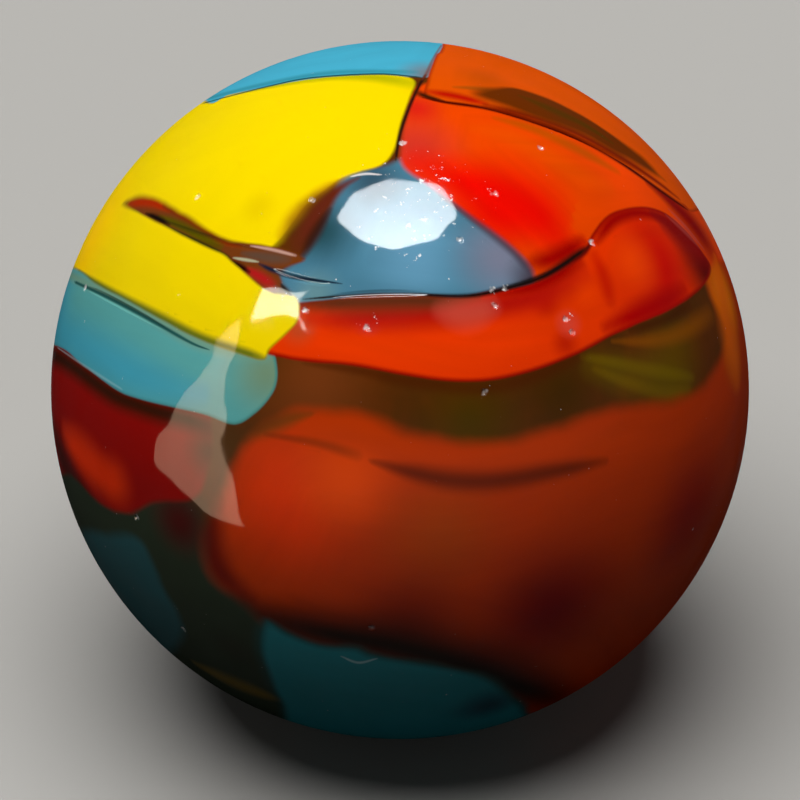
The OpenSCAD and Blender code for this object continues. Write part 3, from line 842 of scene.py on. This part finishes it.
def ball_mesh(settings):
    """A closed ball, finer along crisp borders and thin streaks, and finest along skin marks."""
    bm = bmesh.new()
    bmesh.ops.create_icosphere(bm, subdivisions=settings.facets, radius=RIM)
    edges = []
    for ribbon in RIBBONS:
        for outline, near in ((ribbon.near, True), (ribbon.far, False)):
            if outline and ribbon.blur < CRISP_BLUR:
                edges += skin_points(full_outline(outline, ribbon.blur), near)
    for streak in thin_streaks():
        edges += [on_skin(x, y) for x, y, _ in open_curve(streak.points)]
    scale = RIM / (settings.diameter / 2)
    cuts = [p * scale for path in crease_paths(settings) for p in path]
    cuts += [p * scale for p in pit_places(settings)]
    skin_cuts = [p * RIM / np.linalg.norm(p) for p in cuts]
    refine(bm, edges + skin_cuts, SPLIT_REACH)
    for reach in MARK_REACHES:
        refine(bm, skin_cuts, reach)
    bmesh.ops.recalc_face_normals(bm, faces=bm.faces)
    mesh = bpy.data.meshes.new("glass_marble")
    bm.to_mesh(mesh)
    bm.free()
    return mesh


def thin_streaks():
    """The streaks that need a finer mesh than the ball has."""
    every = [*SEAMS_AND_PAINTED_LIGHT, *(s for ribbon in RIBBONS for s in ribbon.streaks)]
    return [s for s in every if max(p[2] for p in s.points) < THIN_STREAK]


def store(mesh, name, vectors):
    """Keeps one vector for each vertex under a name."""
    attribute = mesh.attributes.new(name, "FLOAT_VECTOR", "POINT")
    attribute.data.foreach_set("vector", vectors.astype(np.float32).ravel())


def paint_fields(mesh):
    """Stores the ribbons' and the streaks' fields on the mesh, which is in map millimetres."""
    verts = np.empty(len(mesh.vertices) * 3)
    mesh.vertices.foreach_get("co", verts)
    verts = verts.reshape(-1, 3)
    for ribbon in RIBBONS:
        store(mesh, ribbon.name, ribbon_field(ribbon, verts))
    for owner, streaks in streaks_by_owner():
        for i, streak in enumerate(streaks):
            store(mesh, streak_name(owner, i), streak_field(streak, verts))


def streaks_by_owner():
    """The name of each ribbon, and of the seams, with its streaks."""
    owners = [(ribbon.name, ribbon.streaks) for ribbon in (AMBER_GLASS, *RIBBONS)]
    return [*owners, ("seam", SEAMS_AND_PAINTED_LIGHT)]


def streak_name(owner, i):
    return f"{owner} streak {i + 1}"


# ---- Skin marks, by Geometry Nodes ----------------------------------------------------------


def helper_object(name, lines):
    """An object of bare edges or points, read by the node tree."""
    mesh = bpy.data.meshes.new(name)
    points = [p for line in lines for p in line]
    edges = []
    first = 0
    for line in lines:
        edges += [(first + i, first + i + 1) for i in range(len(line) - 1)]
        first += len(line)
    mesh.from_pydata([tuple(p) for p in points], edges, [])
    helper = bpy.data.objects.new(name, mesh)
    bpy.context.scene.collection.objects.link(helper)
    return helper


class TreeMaker:
    """Adds nodes to a tree. Each input is a socket to link or a value to set."""

    def __init__(self, tree):
        self.tree = tree

    def add(self, kind, inputs=(), **settings):
        node = self.tree.nodes.new(kind)
        for key, value in settings.items():
            setattr(node, key, value)
        pairs = inputs.items() if isinstance(inputs, dict) else enumerate(inputs)
        for key, value in pairs:
            if isinstance(value, bpy.types.NodeSocket):
                self.tree.links.new(value, node.inputs[key])
            else:
                node.inputs[key].default_value = value
        return node

    def math(self, operation, *inputs):
        return self.add("ShaderNodeMath", inputs, operation=operation).outputs[0]

    def vector(self, operation, *inputs):
        node = self.add("ShaderNodeVectorMath", inputs, operation=operation)
        return node.outputs["Value" if operation in ("LENGTH", "DISTANCE") else "Vector"]

    def scaled(self, vector, factor):
        return self.add("ShaderNodeVectorMath", {0: vector, "Scale": factor},
                        operation="SCALE").outputs[0]


def marks_tree():
    """Presses grooves along paths and dents at points into a ball's skin."""
    tree = bpy.data.node_groups.new("Skin marks", "GeometryNodeTree")
    tree.is_modifier = True
    face = tree.interface
    face.new_socket("Geometry", in_out="INPUT", socket_type="NodeSocketGeometry")
    for name, kind in (
        ("Crease Paths", "NodeSocketObject"), ("Pit Places", "NodeSocketObject"),
        ("Ball Radius", "NodeSocketFloat"), ("Crease Cutter", "NodeSocketFloat"),
        ("Pit Cutter", "NodeSocketFloat"), ("Glass", "NodeSocketMaterial"),
    ):
        face.new_socket(name, in_out="INPUT", socket_type=kind)
    face.new_socket("Geometry", in_out="OUTPUT", socket_type="NodeSocketGeometry")
    make = TreeMaker(tree)
    given = make.add("NodeGroupInput").outputs
    place = make.add("GeometryNodeInputPosition").outputs[0]

    def press(target, elements, cutter):
        """How deep the cutter presses at each place."""
        shape = make.add("GeometryNodeObjectInfo", {"Object": target}).outputs["Geometry"]
        nearest = make.add("GeometryNodeProximity", {0: shape}, target_element=elements).outputs
        lift = make.math("SUBTRACT", make.vector("LENGTH", nearest["Position"]),
                         given["Ball Radius"])
        squared = make.math("SUBTRACT", make.math("POWER", cutter, 2.0),
                            make.math("POWER", nearest["Distance"], 2.0))
        squared = make.math("ADD", squared, make.math("POWER", lift, 2.0))
        root = make.math("SQRT", make.math("MAXIMUM", squared, 0.0))
        return make.math("MAXIMUM", make.math("SUBTRACT", root, lift), 0.0)

    depth = make.math(
        "MAXIMUM",
        press(given["Crease Paths"], "EDGES", given["Crease Cutter"]),
        press(given["Pit Places"], "POINTS", given["Pit Cutter"]))
    inward = make.scaled(make.vector("NORMALIZE", place), make.math("MULTIPLY", depth, -1.0))
    marked = make.add("GeometryNodeSetPosition", {"Geometry": given["Geometry"], "Offset": inward})
    smooth = make.add("GeometryNodeSetShadeSmooth", {0: marked.outputs[0]})
    real = make.add("GeometryNodeRealizeInstances", {0: smooth.outputs[0]})
    glazed = make.add("GeometryNodeSetMaterial", {"Geometry": real.outputs[0],
                                                  "Material": given["Glass"]})
    make.add("NodeGroupOutput", {0: glazed.outputs[0]})
    return tree


def press_marks(ball, settings, glass):
    """Runs the tree on the ball and hands back a plain mesh."""
    helpers = [
        helper_object("crease_paths", crease_paths(settings)),
        helper_object("pit_places", [[p] for p in pit_places(settings)]),
    ]
    tree = marks_tree()
    modifier = ball.modifiers.new("Skin marks", "NODES")
    modifier.node_group = tree
    values = {
        "Crease Paths": helpers[0],
        "Pit Places": helpers[1],
        "Ball Radius": settings.diameter / 2,
        "Crease Cutter": cutter_radius(settings.crease_width, settings.crease_depth),
        "Pit Cutter": cutter_radius(settings.pit_width, settings.pit_depth),
        "Glass": glass,
    }
    for item in tree.interface.items_tree:
        if item.in_out == "INPUT" and item.name in values:
            modifier[item.identifier] = values[item.name]
    graph = bpy.context.evaluated_depsgraph_get()
    mesh = bpy.data.meshes.new_from_object(ball.evaluated_get(graph), depsgraph=graph)
    ball.modifiers.remove(modifier)
    ball.data = mesh
    for helper in helpers:
        bpy.data.objects.remove(helper)


# ---- The glass's material --------------------------------------------------------------------


# How a ribbon's fine strands run: their count along it and across it in a map millimetre
STRAND_DRAW = 0.25
STRAND_COUNT = 1.6


class Glaze(TreeMaker):
    """Builds the glass's colour one layer after another."""

    def __init__(self, tree, places):
        super().__init__(tree)
        self.places = places

    def field(self, name):
        """A stored field's vector."""
        return self.add("ShaderNodeAttribute", attribute_name=name).outputs["Vector"]

    def mix(self, factor, low, high):
        node = self.add("ShaderNodeMix", {0: factor, 6: low, 7: high}, data_type="RGBA")
        return node.outputs[2]

    def smooth(self, value, start, end, most=1.0):
        """0 at start and most at end, with a soft step between."""
        node = self.add("ShaderNodeMapRange", {0: value, 1: start, 2: end, 4: most},
                        interpolation_type="SMOOTHSTEP")
        return node.outputs[0]

    def noise(self, scale, detail=2.0, places=None, roughness=0.5):
        node = self.add("ShaderNodeTexNoise", {"Vector": places or self.places, "Scale": scale,
                                               "Detail": detail, "Roughness": roughness})
        return node.outputs["Fac"]

    def drawn_out(self, across, share, stretch):
        """Places squeezed along a ribbon, so that a pattern runs in streaks with its edge."""
        fast = self.add("ShaderNodeCombineXYZ", {0: self.math("MULTIPLY", across, stretch)})
        return self.vector("ADD", self.scaled(self.places, share), fast.outputs[0])

    def glow(self, colour, glow):
        spot = tuple(on_skin(glow.x, glow.y, glow.near))
        distance = self.vector("DISTANCE", self.places, spot)
        share = self.smooth(distance, glow.reach, 0.0, glow.amount)
        return self.mix(share, colour, srgb(glow.colour))

    def streak(self, colour, streak, name):
        """The streak's tone laid over colour."""
        away = self.vector("LENGTH", self.field(name))
        soft = 1.0 - streak.hardness
        share = self.smooth(away, 1.0 + soft, 1.0 - soft, streak.amount)
        return self.mix(share, colour, srgb(streak.colour))

    def tones(self, ribbon, colour, depth):
        """The ribbon's own colour with its glows, edge, streaks and strands."""
        for glow in ribbon.glows:
            colour = self.glow(colour, glow)
        if ribbon.edge:
            edge_colour, width = ribbon.edge
            colour = self.mix(self.smooth(depth, width, 0.0), colour, srgb(edge_colour))
        for i, streak in enumerate(ribbon.streaks):
            colour = self.streak(colour, streak, streak_name(ribbon.name, i))
        strands = self.noise(1.0, 3.0, self.drawn_out(depth, STRAND_DRAW, STRAND_COUNT))
        value = self.math("MULTIPLY_ADD", strands, 2 * ribbon.grain, 1 - ribbon.grain)
        return self.add("ShaderNodeHueSaturation", {"Value": value, "Color": colour}).outputs[0]

    def pit_glints(self):
        """Painted glints: ragged white spots at the wear pits."""
        noise = self.add("ShaderNodeTexNoise", {"Vector": self.places, "Scale": PIT_GLINT_GRAIN})
        ragged = self.scaled(noise.outputs["Color"], PIT_GLINT_RAG)
        ragged = self.vector("ADD", self.vector("ADD", self.places, ragged), (-PIT_GLINT_RAG / 2,) * 3)
        share = 0.0
        for x, y, white in NEAR_PITS:
            distance = self.vector("DISTANCE", ragged, tuple(on_skin(x, y)))
            share = self.math("MAXIMUM", share, self.smooth(distance, PIT_GLINT_REACH, 0.0, white))
        return share

    def scuffs_and_glints(self):
        """How scuffed the glass is: fine specks in a few patches, their white partly painted
        glints.
        """
        reach = 0.0
        for x, y, far in SCUFF_AND_GLINT_PATCHES:
            distance = self.vector("DISTANCE", self.places, tuple(on_skin(x, y)))
            reach = self.math("MAXIMUM", reach, self.smooth(distance, far, 0.0))
        grain = self.noise(SPECK_GRAIN, 3.0, roughness=0.7)
        return self.smooth(self.math("MULTIPLY_ADD", reach, SPECK_GAIN, grain), *SPECK_RANGE)

    def ribbon(self, under, ribbon, wobble):
        """The ribbon laid over what is under it."""
        parts = self.add("ShaderNodeSeparateXYZ", {0: self.field(ribbon.name)}).outputs
        colour = self.tones(ribbon, srgb(ribbon.colour), parts["Y"])
        wandering = self.math("ADD", wobble, parts["X"])
        return self.mix(self.smooth(wandering, -1.0, 1.0), under, colour)


# How many slow waves, turns of a ribbon's border and blots of the base glass there are in a
# map millimetre of skin
WAVE_SCALE = 0.7
WANDER_SCALE = 0.9
MOTTLE_SCALE = 0.8
# How far the borders wander to each side, as a share of their blur
WANDER = 0.6
# The darker tone of the base glass, and the strengths of its blots from lightest to darkest
DARK_AMBER = "#4c2806"
MOTTLE_RANGE = (0.35, 0.7)
# How much rougher the glass is where it is scuffed
SCUFF_ROUGHNESS = 0.3
# How much the glass mirrors what is straight in front of it, and how fast that falls off
MIRROR_LEVEL = 0.19
MIRROR_FALL = 4.0


def glass_material(settings):
    """Glossy swirled glass, coloured by the fields stored on the ball."""
    glass = bpy.data.materials.new("swirl_glass")
    glass.use_nodes = True
    tree = glass.node_tree
    tree.nodes.clear()
    start = TreeMaker(tree)
    coordinates = start.add("ShaderNodeTexCoord").outputs["Object"]
    make = Glaze(tree, start.scaled(coordinates, 2 * RIM / settings.diameter))
    wobble = make.math("MULTIPLY_ADD", make.noise(WANDER_SCALE, 2.0), 2 * WANDER, -WANDER)
    mottle = make.noise(MOTTLE_SCALE, 3.0)
    colour = make.mix(make.smooth(mottle, *MOTTLE_RANGE), tuple(settings.amber), srgb(DARK_AMBER))
    colour = make.tones(AMBER_GLASS, colour, mottle)
    for ribbon in RIBBONS:
        colour = make.ribbon(colour, ribbon, wobble)
    for i, streak in enumerate(SEAMS_AND_PAINTED_LIGHT):
        colour = make.streak(colour, streak, streak_name("seam", i))
    # Painted glints at the wear pits
    colour = make.mix(make.pit_glints(), colour, srgb(SCUFF_AND_GLINT_WHITE))
    # Scuff specks: rougher glass, with white that is partly painted glints
    scuff_and_glint = make.scuffs_and_glints()
    colour = make.mix(scuff_and_glint, colour, srgb(SCUFF_AND_GLINT_WHITE))
    roughness = make.math("MULTIPLY_ADD", scuff_and_glint, SCUFF_ROUGHNESS, settings.gloss)
    waves = make.add("ShaderNodeBump", {
        "Height": make.noise(WAVE_SCALE, 1.0), "Distance": settings.waves})
    facing = make.add("ShaderNodeLayerWeight", {"Blend": 0.5}).outputs["Facing"]
    straight = make.math("POWER", make.math("SUBTRACT", 1.0, facing), MIRROR_FALL)
    level = make.math("MULTIPLY", straight, MIRROR_LEVEL)
    shader = make.add("ShaderNodeBsdfPrincipled", {
        "Base Color": colour, "Roughness": roughness, "Normal": waves.outputs[0],
        "IOR": 1.45, "Specular IOR Level": level})
    # Stands on the socket too, for a program that doesn't follow the link
    shader.inputs["Specular IOR Level"].default_value = MIRROR_LEVEL
    make.add("ShaderNodeOutputMaterial", {"Surface": shader.outputs[0]})
    return glass


# ---- Operators --------------------------------------------------------------------------------


class MARBLE_OT_make_ball(bpy.types.Operator):
    """Build the glass ball with its ribbons, creases and pits"""

    bl_idname = "marble.make_ball"
    bl_label = "Make ball"

    def execute(self, context):
        settings = context.scene.marble
        mesh = ball_mesh(settings)
        paint_fields(mesh)
        scale = settings.diameter / 2 / RIM
        for vert in mesh.vertices:
            vert.co *= scale
        ball = bpy.data.objects.new("glass_marble", mesh)
        context.scene.collection.objects.link(ball)
        press_marks(ball, settings, glass_material(settings))
        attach(ball, "root")
        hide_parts("marble")
        return {"FINISHED"}


def aim(thing, place, target):
    """Puts a lamp or a camera at a place and turns it to the target."""
    thing.location = place
    thing.rotation_euler = (Vector(target) - Vector(place)).to_track_quat("-Z", "Y").to_euler()


class MARBLE_OT_make_stage(bpy.types.Operator):
    """Lay the floor and place the lamps and the camera"""

    bl_idname = "marble.make_stage"
    bl_label = "Make stage"

    def execute(self, context):
        scene = context.scene
        settings = scene.marble_stage
        radius = scene.marble.diameter / 2
        make_floor(settings, -radius)
        make_world(settings)
        make_daylight(settings)
        make_glints(settings, radius)
        make_camera(scene, radius)
        scene.view_settings.view_transform = "Standard"
        return {"FINISHED"}


# Half the width of the floor, and the colour in which it throws light back
FLOOR_REACH = 3.0
FLOOR_THROWN = "#3c3c3c"
# The share of the room's brightness that it throws, and the height of its change from level
# to overhead
ROOM_THROWN = 0.5
ROOM_CHANGE = 0.6
# The daylight's place, and the angle that it fills
SUN_PLACE = (-0.12, -0.1, 0.985)
SUN_ANGLE = math.radians(55)


def seen(make):
    """1 for what the camera sees, straight or in gloss or glass, and 0 for thrown light."""
    path = make.add("ShaderNodeLightPath").outputs
    return make.math("MAXIMUM", path["Is Camera Ray"],
                     make.math("MAXIMUM", path["Is Glossy Ray"], path["Is Transmission Ray"]))


def make_floor(settings, height):
    """A wide pale floor under the ball. Light that it throws back is dimmer than it looks."""
    mesh = bpy.data.meshes.new("floor")
    r = FLOOR_REACH
    corners = [(-r, -r, height), (r, -r, height), (r, r, height), (-r, r, height)]
    mesh.from_pydata(corners, [], [(0, 1, 2, 3)])
    floor = bpy.data.objects.new("floor", mesh)
    bpy.context.scene.collection.objects.link(floor)
    material = bpy.data.materials.new("floor")
    material.use_nodes = True
    tree = material.node_tree
    tree.nodes.clear()
    make = TreeMaker(tree)
    colour = make.add("ShaderNodeMix", {0: seen(make), 6: srgb(FLOOR_THROWN),
                                        7: tuple(settings.floor)}, data_type="RGBA").outputs[2]
    shader = make.add("ShaderNodeBsdfDiffuse", {"Color": colour})
    make.add("ShaderNodeOutputMaterial", {"Surface": shader.outputs[0]})
    mesh.materials.append(material)


def make_world(settings):
    """A plain room, paler near the floor than overhead. It throws less light than it shows."""
    world = bpy.data.worlds.new("room")
    world.use_nodes = True
    make = TreeMaker(world.node_tree)
    direction = make.add("ShaderNodeTexCoord").outputs["Generated"]
    height = make.add("ShaderNodeSeparateXYZ", {0: direction}).outputs["Z"]
    shown = make.add("ShaderNodeMapRange", {
        0: height, 1: 0.0, 2: ROOM_CHANGE, 3: settings.horizon, 4: settings.ceiling,
    }, interpolation_type="SMOOTHSTEP").outputs[0]
    thrown = make.math("MULTIPLY", shown, ROOM_THROWN)
    strength = make.add("ShaderNodeMix", {0: seen(make), 2: thrown, 3: shown}).outputs[0]
    background = world.node_tree.nodes["Background"]
    background.inputs["Color"].default_value = srgb("#ffffff")
    world.node_tree.links.new(strength, background.inputs["Strength"])
    bpy.context.scene.world = world


def make_lamp(light, place):
    """A lamp that faces the middle of the ball."""
    lamp = bpy.data.objects.new(light.name, light)
    bpy.context.scene.collection.objects.link(lamp)
    aim(lamp, place, (0, 0, 0))
    return lamp


def make_daylight(settings):
    """Soft light from overhead, a little from the left and the front."""
    light = bpy.data.lights.new("daylight", "SUN")
    light.energy = settings.daylight
    light.angle = SUN_ANGLE
    make_lamp(light, SUN_PLACE).visible_glossy = False


# Lamps that face the ball and show only as highlights on it: name, shape, width and height in
# metres, power as a share of the window's, colour, the middle of the highlight on the near map,
# the lamp's distance from there, and its roll in degrees
GLINTS = (
    ("window", "ELLIPSE", 0.225, 0.175, 1.0, (0.95, 0.98, 1), (-0.05, 4.09), 0.392, 0),
    ("side lamp", "RECTANGLE", 0.13, 0.075, 0.19, (0.97, 1, 0.9), (-2.72, 1.92), 0.4, 40),
)
# The strip lamp's highlight is an arc: two places on each of its long edges on the near map,
# and the two corners at its lower end
ARC_LEFT = ((-5.5, -1.7), (-4.2, 1.05))
ARC_RIGHT = ((-4.1, -1.8), (-3.8, 1.0))
ARC_CORNERS = ((-5.6, -1.6), (-3.6, -3.2))
# The strip lamp's length, the height of its lowest corner, just over the floor, and its power
# as a share of the window's
STRIP_LENGTH = 0.35
STRIP_LOW = -0.0068
STRIP_SHARE = 0.04
STRIP_COLOUR = (1, 0.68, 0.45)


def mirrored(x, y, radius):
    """A near map's point on the ball, and the way in which the view from the front bounces off."""
    out = on_skin(x, y) / RIM
    return out * radius, 2 * (out @ TOWARD) * out - TOWARD


def unit(vector):
    return vector / np.linalg.norm(vector)


def glint_light(name, shape, width, height, power, colour):
    light = bpy.data.lights.new(name, "AREA")
    light.shape = shape
    light.size, light.size_y = width, height
    light.energy = power
    light.color = colour
    return light


def make_glints(settings, radius):
    """Lamps overhead and at the side that show only as highlights on the glass."""
    for name, shape, width, height, share, colour, middle, distance, roll in GLINTS:
        light = glint_light(name, shape, width, height, share * settings.window, colour)
        spot, way = mirrored(*middle, radius)
        lamp = make_lamp(light, spot + distance * way)
        lamp.rotation_euler.rotate_axis("Z", math.radians(roll))
        lamp.visible_diffuse = False
    make_strip(settings, radius)


def make_strip(settings, radius):
    """A long lamp that rises from the floor along the line in which both edges' views meet."""
    planes = [
        np.cross(*(mirrored(*place, radius)[1] for place in edge))
        for edge in (ARC_LEFT, ARC_RIGHT)
    ]
    rise = unit(np.cross(*planes))
    rise *= np.sign(rise[2])
    (high_spot, high_way), (low_spot, low_way) = (mirrored(*p, radius) for p in ARC_CORNERS)
    low = low_spot + low_way * (STRIP_LOW - low_spot[2]) / low_way[2]
    high = high_spot + high_way * ((low - high_spot) @ rise) / (high_way @ rise)
    middle = (low + high) / 2 + rise * STRIP_LENGTH / 2
    away = unit(np.cross(low - high, rise))
    away *= np.sign(away @ middle)
    light = glint_light("strip lamp", "RECTANGLE", np.linalg.norm(low - high), STRIP_LENGTH,
                        STRIP_SHARE * settings.window, STRIP_COLOUR)
    lamp = make_lamp(light, middle)
    turn = Matrix((np.cross(rise, away), rise, away)).transposed()
    lamp.rotation_euler = turn.to_euler()
    lamp.visible_diffuse = False


# Distance of the camera, and the ball's radius in the picture as a share of half its width
CAMERA_REACH = 0.6
BALL_SHARE = 349 / 400
SENSOR = 36
# How far the ball sits above the picture's middle, as a share of its radius
BALL_RISE = 0.0287


def make_camera(scene, radius):
    data = bpy.data.cameras.new("camera")
    data.sensor_width = SENSOR
    edge = radius / math.sqrt(CAMERA_REACH ** 2 - radius ** 2)
    data.lens = SENSOR / 2 * BALL_SHARE / edge
    data.clip_start = 0.01
    camera = bpy.data.objects.new("camera", data)
    scene.collection.objects.link(camera)
    low = Vector(UP) * -radius * BALL_RISE
    aim(camera, Vector(TOWARD) * CAMERA_REACH + low, low)
    scene.camera = camera


class MARBLE_PT_panel(bpy.types.Panel):
    """Settings and steps of the marble."""

    bl_idname = "MARBLE_PT_panel"
    bl_label = "Glass marble"
    bl_space_type = "VIEW_3D"
    bl_region_type = "UI"
    bl_category = "Marble"

    def draw(self, context):
        for settings, operator in (
            (context.scene.marble, MARBLE_OT_make_ball),
            (context.scene.marble_stage, MARBLE_OT_make_stage),
        ):
            column = self.layout.column()
            for name in settings.__annotations__:
                column.prop(settings, name)
            column.operator(operator.bl_idname)


CLASSES = (
    MarbleSettings, StageSettings, MARBLE_OT_make_ball, MARBLE_OT_make_stage, MARBLE_PT_panel,
)


def register():
    for cls in CLASSES:
        bpy.utils.register_class(cls)
    bpy.types.Scene.marble = PointerProperty(type=MarbleSettings)
    bpy.types.Scene.marble_stage = PointerProperty(type=StageSettings)


def unregister():
    del bpy.types.Scene.marble_stage
    del bpy.types.Scene.marble
    for cls in reversed(CLASSES):
        bpy.utils.unregister_class(cls)


def main():
    register()
    bpy.ops.marble.make_ball()
    bpy.ops.marble.make_stage()


if __name__ == "__main__":
    main()
